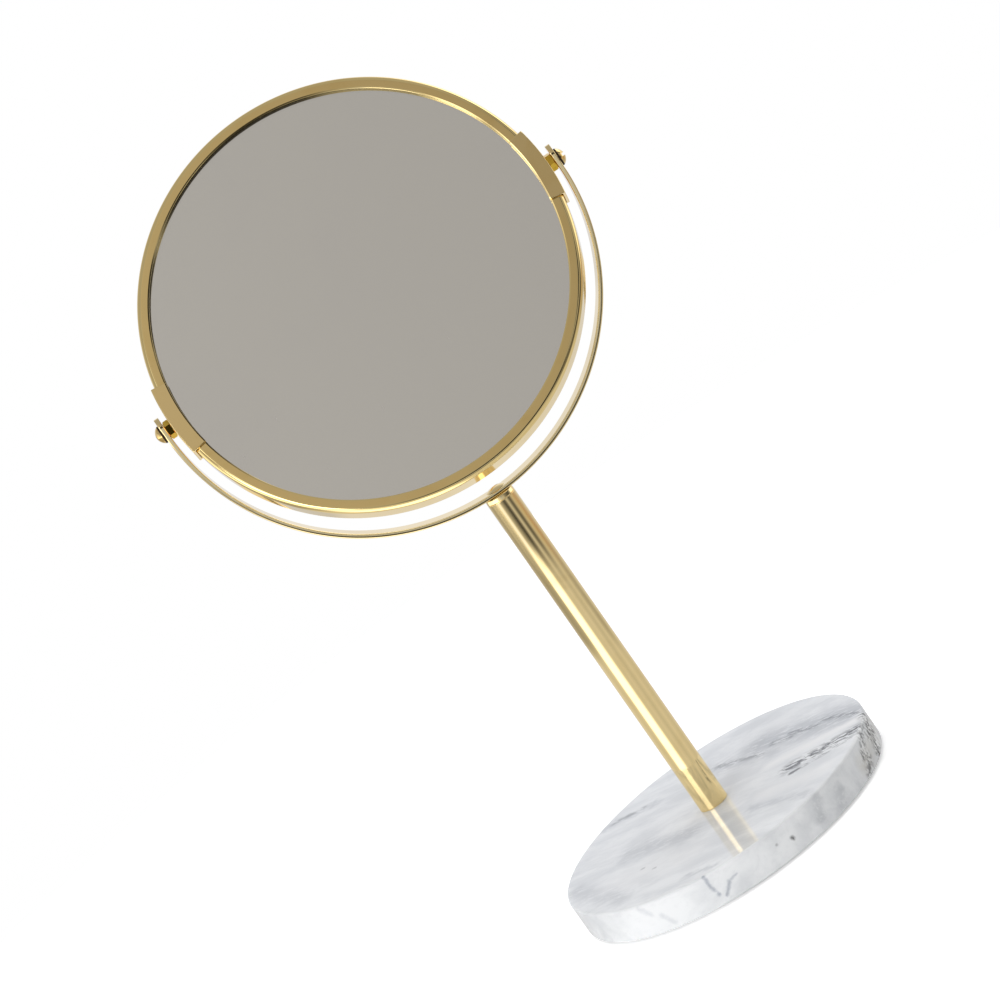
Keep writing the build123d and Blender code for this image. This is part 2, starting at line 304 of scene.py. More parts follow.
def buildHandMarks():
    # soft cloudy marks that dull a polish a little
    tree, given, made = newGroup("handMarks", [
        ("Vector", "Vector", None), ("Scale", "Float", 30.0), ("Amount", "Float", 0.05),
    ], [("Dulling", "Float"), ("Tone", "Float")])
    cloud = addNode(tree, "TexNoise", inputs={"Vector": given.outputs["Vector"], "Scale": given.outputs["Scale"],
                                              "Detail": 3.0, "Roughness": 0.55, "Distortion": 1.2})
    patch = fadeRange(tree, cloud.outputs[0], 0.45, 0.75)
    tree.links.new(calc(tree, "MULTIPLY", patch, given.outputs["Amount"]), made.inputs["Dulling"])
    tree.links.new(patch, made.inputs["Tone"])
    return tree


def buildDust():
    # a few fine specks; most cells of the pattern stay clean
    tree, given, made = newGroup("dustSpecks", [
        ("Vector", "Vector", None), ("Scale", "Float", 120.0), ("Size", "Float", 0.03), ("Share", "Float", 0.1),
    ], [("Specks", "Float")])
    cells = addNode(tree, "TexVoronoi", inputs={"Vector": given.outputs["Vector"], "Scale": given.outputs["Scale"]})
    near = calc(tree, "LESS_THAN", cells.outputs["Distance"], given.outputs["Size"])
    shade = addNode(tree, "SeparateColor", inputs={0: cells.outputs["Color"]})
    chosen = calc(tree, "LESS_THAN", shade.outputs[0], given.outputs["Share"])
    tree.links.new(calc(tree, "MULTIPLY", near, chosen), made.inputs["Specks"])
    return tree


grainGroup = buildFineGrain()
marksGroup = buildHandMarks()
dustGroup = buildDust()


def useGroup(tree, group, inputs):
    node = tree.nodes.new("ShaderNodeGroup")
    node.node_tree = group
    feedNode(tree, node, inputs)
    return node


def newMaterial(name, values):
    material = bpy.data.materials.new(name)
    material.use_nodes = True
    tree = material.node_tree
    shader = tree.nodes["Principled BSDF"]
    for key, value in values.items():
        shader.inputs[key].default_value = value
    place = addNode(tree, "TexCoord").outputs["Object"]
    return material, tree, shader, place


# plated and lacquered brass in five finishes
brassFinish = {
    "polishedBrass": {"light": (0.95, 0.75, 0.385, 1), "deep": (0.91, 0.7, 0.34, 1), "stretch": (900, 900, 14),
                      "low": 0.04, "high": 0.07, "marks": 45.0, "dull": 0.04, "bump": 0.015},
    "ringBrass": {"light": (0.95, 0.73, 0.33, 1), "deep": (0.91, 0.685, 0.29, 1), "stretch": (700, 700, 700),
                  "low": 0.04, "high": 0.08, "marks": 35.0, "dull": 0.03, "bump": 0.015},
    "clipBrass": {"light": (0.95, 0.74, 0.36, 1), "deep": (0.92, 0.7, 0.32, 1), "stretch": (700, 700, 700),
                  "low": 0.05, "high": 0.09, "marks": 50.0, "dull": 0.03, "bump": 0.02},
    "screwBrass": {"light": (0.95, 0.71, 0.32, 1), "deep": (0.88, 0.58, 0.18, 1), "stretch": (1500, 1500, 1500),
                   "low": 0.05, "high": 0.1, "marks": 200.0, "dull": 0.04, "bump": 0.02},
    "nutBrass": {"light": (0.84, 0.54, 0.07, 1), "deep": (0.6, 0.36, 0.03, 1), "stretch": (1500, 1500, 1500),
                 "low": 0.05, "high": 0.1, "marks": 200.0, "dull": 0.04, "bump": 0.02},
}


def makeBrass(name, finish):
    material, tree, shader, place = newMaterial(name, {"Metallic": 1.0})
    grain = useGroup(tree, grainGroup, {
        "Vector": place, "Stretch": finish["stretch"], "Low": finish["low"], "High": finish["high"]})
    marks = useGroup(tree, marksGroup, {"Vector": place, "Scale": finish["marks"], "Amount": finish["dull"]})
    tree.links.new(calc(tree, "ADD", grain.outputs["Roughness"], marks.outputs["Dulling"]), shader.inputs["Roughness"])
    tree.links.new(blendColour(tree, marks.outputs["Tone"], finish["light"], finish["deep"]), shader.inputs["Base Color"])
    bump = addNode(tree, "Bump", inputs={"Height": grain.outputs["Height"], "Strength": finish["bump"], "Distance": 0.0001})
    tree.links.new(bump.outputs[0], shader.inputs["Normal"])
    return material


brass = {name: makeBrass(name, finish) for name, finish in brassFinish.items()}


# mirror glass: clear in front, silvered behind
glassLook = {
    "clear": (0.985, 0.995, 0.99, 1), "ior": 1.52, "dustScale": 160.0, "dustSize": 0.035, "dustShare": 0.06, "dustDull": 0.5,
    "silver": (0.93, 0.93, 0.92, 1), "tarnish": (0.92, 0.92, 0.915, 1), "cloudScale": 12.0, "cloudDull": 0.004,
}


def makeClearGlass(look):
    material, tree, shader, place = newMaterial("clearGlass", {
        "Base Color": look["clear"], "Transmission Weight": 1.0, "IOR": look["ior"], "Metallic": 0.0})
    dust = useGroup(tree, dustGroup, {
        "Vector": place, "Scale": look["dustScale"], "Size": look["dustSize"], "Share": look["dustShare"]})
    tree.links.new(calc(tree, "MULTIPLY", dust.outputs["Specks"], look["dustDull"]), shader.inputs["Roughness"])
    return material


def makeSilver(look):
    material, tree, shader, place = newMaterial("silvering", {"Metallic": 1.0})
    marks = useGroup(tree, marksGroup, {"Vector": place, "Scale": look["cloudScale"], "Amount": look["cloudDull"]})
    tree.links.new(marks.outputs["Dulling"], shader.inputs["Roughness"])
    tree.links.new(blendColour(tree, marks.outputs["Tone"], look["silver"], look["tarnish"]), shader.inputs["Base Color"])
    return material


# dull stock: tone, roughness and bump from one noise
plainFinish = {
    "padRubber": {"shader": {}, "light": (0.02, 0.02, 0.02, 1), "deep": (0.045, 0.045, 0.043, 1),
                  "scale": 900, "low": 0.7, "high": 0.9, "bump": 0.0002},
    "zincSteel": {"shader": {"Metallic": 1.0}, "light": (0.68, 0.69, 0.7, 1), "deep": (0.5, 0.51, 0.52, 1),
                  "scale": 600, "low": 0.22, "high": 0.38, "bump": 0.00005},
    "greyBoard": {"shader": {}, "light": (0.5, 0.45, 0.37, 1), "deep": (0.36, 0.32, 0.26, 1),
                  "scale": 1200, "low": 0.8, "high": 0.95, "bump": 0.0001},
    "blackNylon": {"shader": {"Specular IOR Level": 0.15}, "light": (0.022, 0.013, 0.007, 1), "deep": (0.04, 0.025, 0.014, 1),
                   "scale": 2500, "low": 0.35, "high": 0.5, "bump": 0.00003},
}


def makePlain(name, finish):
    material, tree, shader, place = newMaterial(name, finish["shader"])
    grain = useGroup(tree, grainGroup, {
        "Vector": place, "Stretch": (finish["scale"],) * 3, "Low": finish["low"], "High": finish["high"]})
    tree.links.new(grain.outputs["Roughness"], shader.inputs["Roughness"])
    tree.links.new(blendColour(tree, grain.outputs["Height"], finish["light"], finish["deep"]), shader.inputs["Base Color"])
    bump = addNode(tree, "Bump", inputs={"Height": grain.outputs["Height"], "Strength": 0.4, "Distance": finish["bump"]})
    tree.links.new(bump.outputs[0], shader.inputs["Normal"])
    return material


clearGlass = makeClearGlass(glassLook)
silvering = makeSilver(glassLook)
plain = {name: makePlain(name, finish) for name, finish in plainFinish.items()}


# marble: soft streaks all through, with veins laid from one point to another in millimetres
marbleLook = {
    "white": (0.875, 0.89, 0.905, 1),
    "streak": (0.66, 0.68, 0.705, 1),
    "gloss": {"Specular IOR Level": 0.45, "IOR": 1.5},
    "lie": (0.0, 0.25, math.radians(36.0)),
    "bend": (9.0, 0.03),
    "swayScale": 0.16,
    "wideGrain": {"stretch": (0.028, 0.075, 0.06), "detail": 6.0, "roughness": 0.58, "fade": (0.37, 0.65), "strength": 0.68},
    "fineGrain": {"stretch": (0.17, 0.62, 0.45), "detail": 5.0, "roughness": 0.62, "fade": (0.5, 0.72), "strength": 0.2},
    "roughness": (0.04, 0.1),
    "kinds": {
        "cloud": {"colour": (0.47, 0.49, 0.52, 1), "sway": 7.0, "rough": (0.24, 0.54), "veins": [
            ((30, 28, 16), (68, -8, 16), 17, 0.85), ((4, 42, 16), (32, 10, 16), 9, 0.6), ((-40, 8, 16), (-16, -14, 16), 12, 0.6),
            ((-68, 8, 16), (-53, -33, 16), 8, 0.5), ((10, -33, 16), (33, -60, 16), 5, 0.5),
            ((-27, -57, 16), (-14, -66, 16), 3.5, 0.55), ((-42, 55, 16), (-20, 45, 16), 6, 0.5),
            ((44, -57.6, 9), (40, -60.5, 4), 4.5, 0.5), ((34, -64, 14), (31, -65.5, 7), 4.5, 0.55)]},
        "light": {"colour": (0.9, 0.905, 0.91, 1), "sway": 4.0, "rough": (0.1, 0.4), "veins": [
            ((28, -2, 16), (70, -20, 16), 6, 1.0), ((-52, -10, 16), (-20, -36, 16), 16, 0.45),
            ((18, -28, 16), (44, -46, 16), 10, 0.6)]},
        "warm": {"colour": (0.6, 0.58, 0.53, 1), "sway": 5.0, "rough": (0.2, 0.5), "veins": [((72, -10, 9), (58, -43, 7), 8, 0.65)]},
        "dark": {"colour": (0.1, 0.1, 0.105, 1), "sway": 3.0, "rough": (0.43, 0.55), "veins": [
            ((33, -19, 16), (64, -28, 16), 7.5, 1.0), ((34, -26.5, 16), (60, -33, 16), 3, 0.6), ((57, 7, 16), (69, -12, 16), 3, 0.6),
            ((42, 17, 16), (53, 5, 16), 3, 0.6), ((34, 20, 16), (42, 13, 16), 2.6, 0.55), ((10, 36, 16), (28, 17, 16), 3, 0.5),
            ((-39, 54.5, 16), (-25, 48.5, 16), 2.4, 0.5), ((71, -16, 15), (67, -28, 10), 5, 1.0), ((70, -19, 9), (66, -30, 3), 5, 1.0),
            ((65, -32, 15), (60, -41, 9), 4, 0.8), ((62, -38, 7), (58, -44, 2), 4, 0.8)]},
        "spot": {"colour": (0.12, 0.12, 0.125, 1), "sway": 2.5, "rough": (0.25, 0.45), "veins": [
            ((33, -20, 16), (37.5, -21.5, 16), 2.2, 1.0), ((32, -26, 16), (36, -27, 16), 1.9, 1.0),
            ((17, -70.5, 8.6), (17.4, -70.4, 7.6), 1.5, 0.9), ((10, -71.8, 10), (10.2, -71.8, 10), 1.1, 0.5),
            ((-40, -17, 16), (-39, -17.5, 16), 1.3, 0.4), ((-36, -25, 16), (-35, -25.5, 16), 1.3, 0.4)]},
        "crack": {"colour": (0.4, 0.43, 0.49, 1), "sway": 3.2, "rough": (0.2, 0.5), "veins": [
            ((-21.5, -69, 15.5), (-20.4, -69.6, 6), 1.4, 0.95), ((-9.6, -72, 9.6), (-13.6, -71.2, 9), 1.2, 0.6),
            ((-13.6, -71.2, 9), (-17.7, -70.3, 4), 1.4, 0.85), ((-50, -52.5, 15), (-47, -55, 11), 2.0, 0.3),
            ((-44, -57.6, 9), (-41, -59.8, 4), 2.0, 0.3)]},
    },
}


def buildVeinLine():
    # 1 along the line from start to end, fading out over its width
    tree, given, made = newGroup("veinLine", [
        ("Vector", "Vector", None), ("Start", "Vector", (0, 0, 0)), ("End", "Vector", (1, 0, 0)), ("Width", "Float", 1.0),
    ], [("Mask", "Float")])

    def vector(operation, first, second, output="Vector"):
        return addNode(tree, "VectorMath", {"operation": operation}, {0: first, 1: second}).outputs[output]

    run = vector("SUBTRACT", given.outputs["End"], given.outputs["Start"])
    out = vector("SUBTRACT", given.outputs["Vector"], given.outputs["Start"])
    along = calc(tree, "DIVIDE", vector("DOT_PRODUCT", out, run, "Value"), vector("DOT_PRODUCT", run, run, "Value"), clamp=True)
    nearest = addNode(tree, "VectorMath", {"operation": "SCALE"}, {0: run, "Scale": along}).outputs[0]
    apart = calc(tree, "DIVIDE", vector("DISTANCE", out, nearest, "Value"), given.outputs["Width"])
    tree.links.new(fadeRange(tree, apart, 0.0, 1.0, 1.0, 0.0), made.inputs["Mask"])
    return tree


veinGroup = buildVeinLine()


def swayed(tree, place, amount, scale):
    # push the place about so that no line stays straight
    noise = addNode(tree, "TexNoise", inputs={"Vector": place, "Scale": scale, "Detail": 3.0, "Roughness": 0.6}).outputs["Color"]
    centred = addNode(tree, "VectorMath", {"operation": "SUBTRACT"}, {0: noise, 1: (0.5, 0.5, 0.5)}).outputs[0]
    return addNode(tree, "VectorMath", {"operation": "MULTIPLY_ADD"}, {0: centred, 1: (amount, amount, amount), 2: place}).outputs[0]


def stretchedNoise(tree, place, grain):
    drawn = addNode(tree, "VectorMath", {"operation": "MULTIPLY"}, {0: place, 1: grain["stretch"]}).outputs[0]
    return addNode(tree, "TexNoise", inputs={
        "Vector": drawn, "Scale": 1.0, "Detail": grain["detail"], "Roughness": grain["roughness"]}).outputs[0]


def makeMarble(look):
    material, tree, shader, place = newMaterial("paleMarble", look["gloss"])
    stone = addNode(tree, "VectorMath", {"operation": "SCALE"}, {0: place, "Scale": 1 / mm}).outputs[0]
    lie = addNode(tree, "Mapping", inputs={"Vector": swayed(tree, stone, *look["bend"]), "Rotation": look["lie"]}).outputs[0]
    cloud = stretchedNoise(tree, lie, look["wideGrain"])
    hair = stretchedNoise(tree, lie, look["fineGrain"])
    tone = look["white"]
    for noise, grain in ((cloud, look["wideGrain"]), (hair, look["fineGrain"])):
        strength = calc(tree, "MULTIPLY", fadeRange(tree, noise, *grain["fade"]), grain["strength"])
        tone = blendColour(tree, strength, tone, look["streak"])
    for kind in look["kinds"].values():
        bent = swayed(tree, stone, kind["sway"], look["swayScale"])
        mask = None
        for start, end, width, strength in kind["veins"]:
            vein = useGroup(tree, veinGroup, {"Vector": bent, "Start": start, "End": end, "Width": float(width)})
            line = calc(tree, "MULTIPLY", vein.outputs["Mask"], strength)
            mask = line if mask is None else calc(tree, "MAXIMUM", mask, line)
        broken = fadeRange(tree, hair, *kind["rough"])
        tone = blendColour(tree, calc(tree, "MULTIPLY", mask, broken), tone, kind["colour"])
    tree.links.new(tone, shader.inputs["Base Color"])
    tree.links.new(fadeRange(tree, hair, 0.2, 0.8, *look["roughness"]), shader.inputs["Roughness"])
    return material


paleMarble = makeMarble(marbleLook)
print("materials made:", len(bpy.data.materials))


# modelling helpers
def drawProfile(bm, points):
    # a closed section in the XZ plane, in millimetres
    corners = [bm.verts.new((radius * mm, 0, height * mm)) for radius, height in points]
    bm.faces.new(corners)
    return corners


def roundCorners(bm, corners, radius, steps=4):
    bmesh.ops.bevel(bm, geom=corners, offset=radius * mm, offset_type="OFFSET", affect="VERTICES",
                    segments=steps, profile=0.5, material=-1)


def everything(bm):
    return bm.verts[:] + bm.edges[:] + bm.faces[:]


def pick(items, kind):
    return [item for item in items if isinstance(item, kind)]


def spinRound(bm, steps):
    # full turn about Z of a closed section, whose own face goes first
    bmesh.ops.delete(bm, geom=bm.faces[:], context="FACES_ONLY")
    turnOutline(bm, steps)


def turnOutline(bm, steps):
    bmesh.ops.spin(bm, geom=bm.verts[:] + bm.edges[:], cent=(0, 0, 0), axis=(0, 0, 1), angle=math.tau,
                   steps=steps, use_merge=True)
    closeUp(bm)


def spinPart(bm, start, angle, steps):
    # part turn about Z with closed ends
    bmesh.ops.rotate(bm, verts=bm.verts[:], cent=(0, 0, 0), matrix=Matrix.Rotation(math.radians(start), 3, "Z"))
    bmesh.ops.spin(bm, geom=everything(bm), cent=(0, 0, 0), axis=(0, 0, 1), angle=math.radians(angle), steps=steps)
    closeUp(bm)


def closeUp(bm):
    bmesh.ops.remove_doubles(bm, verts=bm.verts[:], dist=1e-7)
    bmesh.ops.recalc_face_normals(bm, faces=bm.faces[:])


def softenEdges(bm, edges, width, steps=2):
    bmesh.ops.bevel(bm, geom=edges, offset=width * mm, offset_type="OFFSET", affect="EDGES",
                    segments=steps, profile=0.5, material=-1, clamp_overlap=True)


def thickDisc(radius, bottom, thickness, steps):
    bm = bmesh.new()
    bmesh.ops.create_circle(bm, cap_ends=True, segments=steps, radius=radius * mm)
    bmesh.ops.translate(bm, vec=(0, 0, bottom * mm), verts=bm.verts[:])
    grown = bmesh.ops.extrude_face_region(bm, geom=bm.faces[:] + bm.edges[:])
    bmesh.ops.translate(bm, vec=(0, 0, thickness * mm), verts=pick(grown["geom"], bmesh.types.BMVert))
    bmesh.ops.recalc_face_normals(bm, faces=bm.faces[:])
    return bm


def cutHole(bm, walls, turn, radius, steps, height=None):
    # round hole through two facing walls, at their middle or at a given height
    rims = []
    for wall in walls:
        outline, normal, centre = wall.edges[:], wall.normal.copy(), wall.calc_center_median()
        if height is not None:
            centre.z = height * mm
        bmesh.ops.delete(bm, geom=[wall], context="FACES_ONLY")
        ring = bmesh.ops.create_circle(bm, segments=steps, radius=radius * mm, matrix=Matrix.Translation(centre) @ turn)
        rim = list({edge for vert in ring["verts"] for edge in vert.link_edges})
        bmesh.ops.triangle_fill(bm, edges=outline + rim, use_beauty=True, normal=normal)
        rims += rim
    bmesh.ops.bridge_loops(bm, edges=rims)


def sharpEdges(bm, angle):
    return [edge for edge in bm.edges if len(edge.link_faces) == 2 and edge.calc_face_angle() > math.radians(angle)]


def addPiece(name, bm, body, materials, node, smoothAngle=32):
    mesh = bpy.data.meshes.new(name)
    bm.to_mesh(mesh)
    bm.free()
    mesh.shade_smooth()
    mesh.set_sharp_from_angle(angle=math.radians(smoothAngle))
    for material in materials:
        mesh.materials.append(material)
    piece = bpy.data.objects.new(name, mesh)
    scene.collection.objects.link(piece)
    flats = piece.modifiers.new("flatsFirst", "WEIGHTED_NORMAL")
    flats.keep_sharp = True
    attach(piece, body)
    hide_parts(node)
    return piece


# marble base, bored for its bolt, and the pad under it
baseSizes = {"radius": 72.5, "bottom": 1.0, "top": 16.0, "edgeRound": 1.0, "boltHole": 3.5, "counterbore": 11.0,
             "counterboreTop": 9.5, "steps": 256, "padRadius": 67.5, "padRound": 0.2, "padSteps": 160}


def buildBase(size):
    bm = bmesh.new()
    corners = drawProfile(bm, [
        (size["boltHole"], size["top"]), (size["radius"], size["top"]), (size["radius"], size["bottom"]),
        (size["counterbore"], size["bottom"]), (size["counterbore"], size["counterboreTop"]),
        (size["boltHole"], size["counterboreTop"])])
    roundCorners(bm, corners[1:3], size["edgeRound"], 5)
    spinRound(bm, size["steps"])
    addPiece("baseDisc", bm, "stand", [paleMarble], "base_disc")
    bm = thickDisc(size["padRadius"], 0.0, size["bottom"], size["padSteps"])
    softenEdges(bm, sharpEdges(bm, 60), size["padRound"])
    addPiece("basePad", bm, "stand", [plain["padRubber"]], "base_pad")


buildBase(baseSizes)
print("base built")


# stem tube and the plug whose flange shows under the yoke
stemSizes = {"radius": 6.5, "wall": 1.0, "bottom": 16.0, "top": 174.2, "edgeRound": 0.3, "steps": 128,
             "flangeTop": 176.2, "flangeRound": 0.25, "flangeTaper": 0.16,
             "shankRadius": 5.45, "shankBottom": 162.2, "threadRadius": 2.05}


def buildStem(size):
    bm = bmesh.new()
    inner = size["radius"] - size["wall"]
    corners = drawProfile(bm, [
        (inner, size["top"]), (size["radius"], size["top"]), (size["radius"], size["bottom"]), (inner, size["bottom"])])
    roundCorners(bm, corners[1:3], size["edgeRound"], 3)
    spinRound(bm, size["steps"])
    addPiece("stemTube", bm, "stand", [brass["polishedBrass"]], "stem_tube")
    bm = bmesh.new()
    corners = drawProfile(bm, [
        (size["threadRadius"], size["flangeTop"]), (size["radius"] - size["flangeTaper"], size["flangeTop"]),
        (size["radius"], size["top"]), (size["shankRadius"], size["top"]),
        (size["shankRadius"], size["shankBottom"]), (size["threadRadius"], size["shankBottom"])])
    roundCorners(bm, corners[1:3], size["flangeRound"], 4)
    spinRound(bm, size["steps"])
    addPiece("stemTopPlug", bm, "stand", [brass["polishedBrass"]], "stem_top_plug")


buildStem(stemSizes)
print("stem built")


# yoke: a strip bent round Y, straight arms and round tips
yokeSizes = {"centre": 272.45, "inner": 94.25, "outer": 96.25, "width": 8.0, "edgeRound": 0.5, "tip": 281.8,
             "bendSteps": 128, "tipSteps": 10, "tipTurn": 88.5,
             "pivotHeight": 275.1, "pivotHole": 2.07, "footHole": 2.15, "holeSteps": 32}
sideways = Matrix.Rotation(math.radians(90), 4, "Y")


def growCap(bm, cap):
    grown = bmesh.ops.extrude_face_region(bm, geom=[cap])
    bmesh.ops.delete(bm, geom=[cap], context="FACES_ONLY")
    return pick(grown["geom"], bmesh.types.BMFace)[0]


def boreYoke(bm, size):
    # pivot holes in the straight arms, and the screw hole at the foot of the bend
    armWidth, armLength = size["width"] - 2 * size["edgeRound"], size["tip"] - size["width"] / 2 - size["centre"]
    flats = [face for face in bm.faces if abs(face.normal.x) > 0.99 and face.calc_area() > 0.9 * armWidth * armLength * mm * mm]
    flats.sort(key=lambda face: face.calc_center_median().x)
    for pair in (flats[:2], flats[2:]):
        cutHole(bm, pair, sideways, size["pivotHole"], size["holeSteps"], size["pivotHeight"])
    middle = [edge for edge in bm.edges if max(abs(vert.co.x) for vert in edge.verts) < 1e-6
              and edge.calc_length() > size["width"] / 2 * mm]
    bmesh.ops.dissolve_edges(bm, edges=middle)
    feet = [face for face in bm.faces if abs(face.normal.z) > 0.99 and len(face.verts) == 6
            and face.calc_area() > 1.5 * size["width"] * mm * mm]
    cutHole(bm, feet, Matrix.Identity(4), size["footHole"], size["holeSteps"])


def buildYoke(size):
    bm = bmesh.new()
    half = size["width"] / 2
    corners = [bm.verts.new((-reach * mm, side * half * mm, size["centre"] * mm))
               for reach, side in ((size["outer"], -1), (size["inner"], -1), (size["inner"], 1), (size["outer"], 1))]
    bm.faces.new(corners)
    roundCorners(bm, corners, size["edgeRound"], 4)
    bmesh.ops.spin(bm, geom=everything(bm), cent=(0, 0, size["centre"] * mm), axis=(0, 1, 0), angle=-math.pi,
                   steps=size["bendSteps"])
    bmesh.ops.remove_doubles(bm, verts=bm.verts[:], dist=1e-7)
    caps = [face for face in bm.faces if len(face.verts) > 4]
    for cap in caps:
        cap = growCap(bm, cap)
        bmesh.ops.translate(bm, vec=(0, 0, (size["tip"] - half - size["centre"]) * mm), verts=cap.verts[:])
        taken, scaled = 0.0, 1.0
        for step in range(1, size["tipSteps"] + 1):
            angle = math.radians(size["tipTurn"]) * step / size["tipSteps"]
            cap = growCap(bm, cap)
            rise = half * math.sin(angle)
            bmesh.ops.translate(bm, vec=(0, 0, (rise - taken) * mm), verts=cap.verts[:])
            bmesh.ops.scale(bm, vec=(1, math.cos(angle) / scaled, 1), verts=cap.verts[:])
            taken, scaled = rise, math.cos(angle)
    bmesh.ops.recalc_face_normals(bm, faces=bm.faces[:])
    boreYoke(bm, size)
    bmesh.ops.recalc_face_normals(bm, faces=bm.faces[:])
    addPiece("yokeStrip", bm, "stand", [brass["polishedBrass"]], "yoke_strip")


buildYoke(yokeSizes)
print("yoke built")


# slotted screws with domed heads, built on Z with the head's seat at 0
screwSteps = {"dome": 14, "turn": 64, "smooth": 40}


def domedScrew(size):
    bm = bmesh.new()
    radius, height = size["headRadius"], size["headHeight"]
    sphere = (radius ** 2 + height ** 2) / (2 * height)
    pole = bm.verts.new((0, 0, height * mm))
    bmesh.ops.spin(bm, geom=[pole], cent=(0, 0, (height - sphere) * mm), axis=(0, 1, 0),
                   angle=math.atan2(radius, sphere - height), steps=screwSteps["dome"])
    last = max(bm.verts, key=lambda vert: vert.co.x)
    for reach, depth in ((size["shankRadius"], 0), (size["shankRadius"], -size["length"]), (0, -size["length"])):
        turn = bm.verts.new((reach * mm, 0, depth * mm))
        bm.edges.new((last, turn))
        last = turn
    turnOutline(bm, screwSteps["turn"])
    cutSlot(bm, (height - size["slotDepth"]) * mm, size["slotWidth"] * mm / 2, size["slotAngle"])
    return bm


def cutSlot(bm, floor, half, angle):
    across = Matrix.Rotation(math.radians(angle), 3, "Z") @ Vector((0, 1, 0))
    for place, normal in ((across * half, across), (-across * half, across), (Vector((0, 0, floor)), Vector((0, 0, 1)))):
        bmesh.ops.bisect_plane(bm, geom=everything(bm), dist=1e-7, plane_co=place, plane_no=normal)
    lid = [face for face in bm.faces
           if face.calc_center_median().z > floor + 1e-6 and abs(face.calc_center_median().dot(across)) < half]
    grown = bmesh.ops.extrude_face_region(bm, geom=lid)
    bmesh.ops.delete(bm, geom=[face for face in lid if face.is_valid], context="FACES")
    for vert in pick(grown["geom"], bmesh.types.BMVert):
        vert.co.z = floor
    bmesh.ops.remove_doubles(bm, verts=bm.verts[:], dist=2e-6)
    bmesh.ops.recalc_face_normals(bm, faces=bm.faces[:])


yokeScrew = {"headRadius": 4.4, "headHeight": 1.0, "shankRadius": 2.0, "length": 12.1, "slotWidth": 1.1, "slotDepth": 0.5,
             "slotAngle": 40.0, "seat": 178.3028}


def buildYokeScrew(size):
    bm = domedScrew(size)
    bmesh.ops.translate(bm, vec=(0, 0, size["seat"] * mm), verts=bm.verts[:])
    addPiece("yokeScrew", bm, "stand", [brass["polishedBrass"]], "yoke_screw", screwSteps["smooth"])


buildYokeScrew(yokeScrew)
print("yoke screw built")


# mirror head, built face up with its top towards +Y, then stood up and leaned back
headSizes = {
    "pivotHeight": 275.1, "lean": 30.0, "ringRadius": 90.3, "lipRadius": 85.0, "sheet": 1.0, "halfDepth": 6.0025,
    "edgeRound": 2.2, "outerDrop": 0.12, "lipRound": 0.15, "bevelWidth": 0.6, "bevelDepth": 0.2,
    "underWidth": 0.75, "underDepth": 0.25, "seamAngle": 1.96, "ringSteps": 160, "smooth": 13,
    "glassRadius": 89.0, "glassThickness": 1.76, "lipGap": 0.012, "glassSteps": 256,
    "hollowRadius": 1200.0, "hollowSag": 3.305, "hollowArc": 24, "hollowSteps": 192,
}
headMiddle = Matrix.Translation((0, 0, headSizes["pivotHeight"] * mm))
headLean = headMiddle @ Matrix.Rotation(math.radians(-headSizes["lean"]), 4, "X")
headFace = headLean @ Matrix.Rotation(math.radians(90), 4, "X")


def drawChannel(bm, outer, lip, size):
    # sheet bent to a channel that opens towards the middle, its lips bevelled above and below
    depth, outside = size["halfDepth"], size["halfDepth"] - size["outerDrop"]
    inner, edge, wall = depth - size["sheet"], depth - size["bevelDepth"], outer - size["sheet"]
    flat, seat, under = lip + size["bevelWidth"], lip + size["underWidth"], inner + size["underDepth"]
    corners = drawProfile(bm, [
        (outer, outside), (outer, -outside), (flat, -depth), (lip, -edge), (lip, -under), (seat, -inner),
        (wall, -inner), (wall, inner), (seat, inner), (lip, under), (lip, edge), (flat, depth)])
    roundCorners(bm, corners[:2], size["edgeRound"], 9)
    roundCorners(bm, [corners[3], corners[10]], size["lipRound"], 2)


def buildRing(size):
    halves = {"frameUpper": ("frame_upper", size["seamAngle"]), "frameLower": ("frame_lower", 180 + size["seamAngle"])}
    for name, (node, start) in halves.items():
        bm = bmesh.new()
        drawChannel(bm, size["ringRadius"], size["lipRadius"], size)
        spinPart(bm, start, 180 - 2 * size["seamAngle"], size["ringSteps"])
        bmesh.ops.transform(bm, matrix=headFace, verts=bm.verts[:])
        addPiece(name, bm, "head", [brass["ringBrass"]], node, size["smooth"])


def buildFrontGlass(size):
    # its face stops just under the lip
    back = size["halfDepth"] - size["sheet"] - size["glassThickness"]
    bm = thickDisc(size["glassRadius"], back, size["glassThickness"] - size["lipGap"], size["glassSteps"])
    for face in bm.faces:
        face.material_index = 1 if face.normal.z < -0.5 else 0
    bmesh.ops.transform(bm, matrix=headFace, verts=bm.verts[:])
    addPiece("frontGlass", bm, "head", [clearGlass, silvering], "front_glass")


def buildBackGlass(size):
    # hollow to the back: both faces are turned about one far centre
    bm = bmesh.new()
    depth = size["halfDepth"] - size["sheet"]
    centre = -(depth - size["hollowSag"] + size["hollowRadius"]) * mm
    rims = []
    for sphere in (size["hollowRadius"], size["hollowRadius"] + size["glassThickness"]):
        pole = bm.verts.new((0, 0, centre + sphere * mm))
        arc = bmesh.ops.spin(bm, geom=[pole], cent=(0, 0, centre), axis=(0, 1, 0),
                             angle=math.asin(size["glassRadius"] / sphere), steps=size["hollowArc"])
        rims.append(pick(arc["geom_last"], bmesh.types.BMVert)[0])
    bm.edges.new(rims)
    turnOutline(bm, size["hollowSteps"])
    for face in bm.faces:
        face.material_index = 1 if face.normal.z > 0.5 else 0
    bmesh.ops.transform(bm, matrix=headFace, verts=bm.verts[:])
    addPiece("backGlass", bm, "head", [clearGlass, silvering], "back_glass")


buildRing(headSizes)
buildFrontGlass(headSizes)
buildBackGlass(headSizes)
print("ring and glass built")


